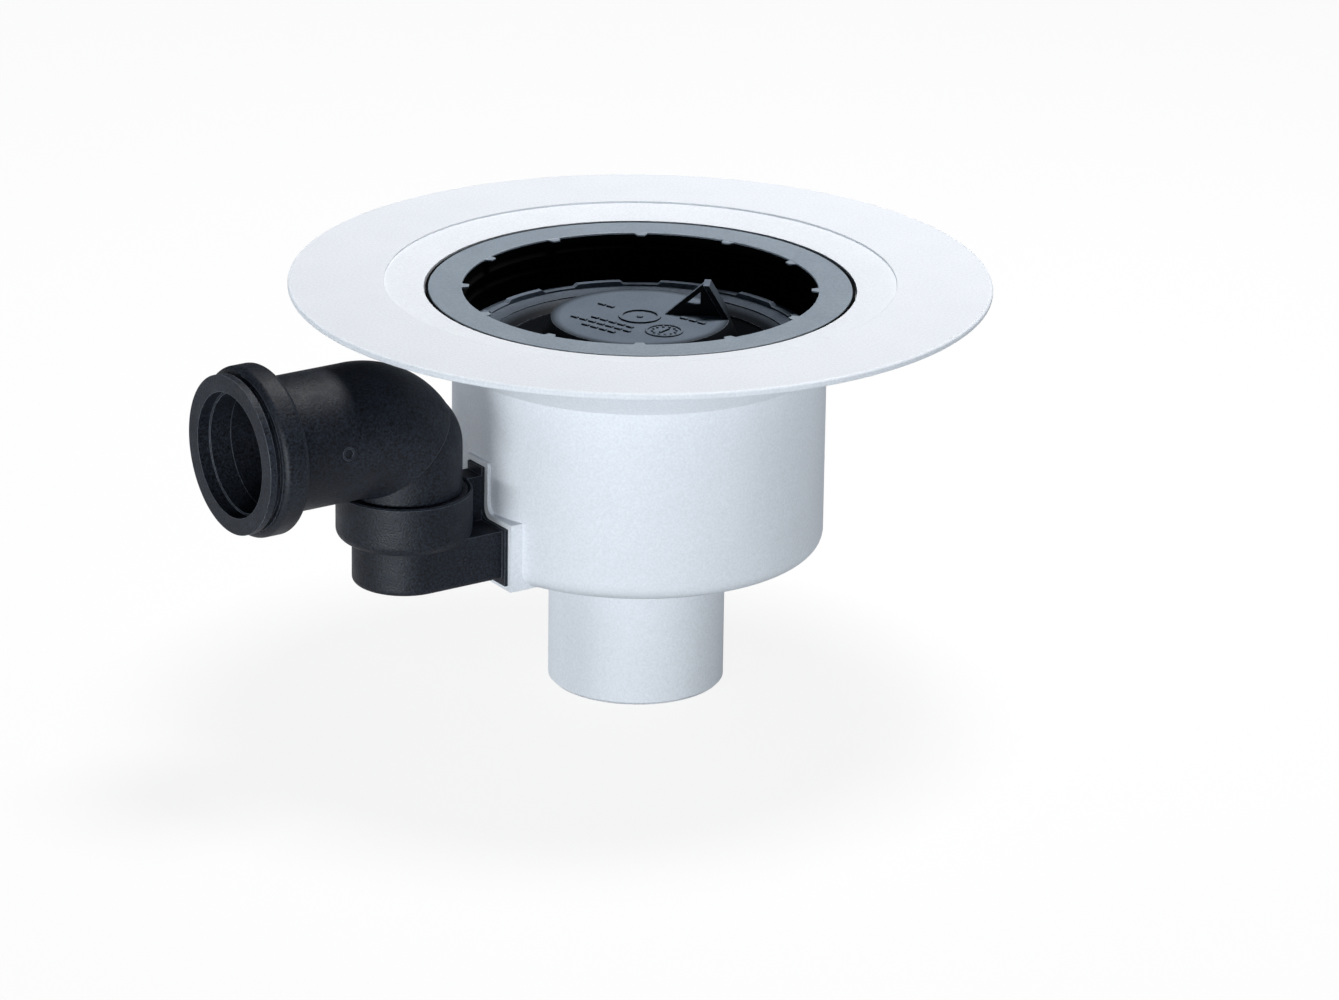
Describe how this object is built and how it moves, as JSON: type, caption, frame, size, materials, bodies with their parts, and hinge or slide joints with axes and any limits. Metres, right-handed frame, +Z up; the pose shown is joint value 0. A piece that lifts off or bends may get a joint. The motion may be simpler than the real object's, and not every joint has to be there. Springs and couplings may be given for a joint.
{
  "type": "floor drain",
  "caption": "Floor drain with a wide round flange, a pot with a lift-out odour trap, a swivelling side inlet elbow and a vertical outlet spigot.",
  "frame": {"origin": "centre of the outlet spigot's lower end", "axes": "+Z up along the drain's axis, +X towards the side inlet"},
  "size_m": [0.3471, 0.296, 0.178],
  "materials": {
    "white_plastic": "satin",
    "grey_plastic": "satin",
    "ring_plastic": "satin",
    "black_plastic": "satin speckled",
    "black_rubber": "matte"
  },
  "bodies": {
    "drain": {"drain_body": "white_plastic", "seal_clamp_ring": "ring_plastic", "mouth_seal": "black_rubber", "trap_funnel": "grey_plastic", "trap_bell": "grey_plastic", "standpipe": "grey_plastic", "standpipe_o_ring": "black_rubber", "inlet_chamber": "black_plastic", "collar_seal": "black_rubber"},
    "elbow": {"inlet_elbow": "black_plastic", "elbow_socket_seal": "black_rubber"}
  },
  "joints": [
    {"name": "inlet_elbow_swivel", "type": "hinge", "parent": "drain", "child": "elbow", "pos_m": [0.1161, 0, 0.0975], "axis": [0, 0, 1], "range_deg": [-100, 100]}
  ]
}
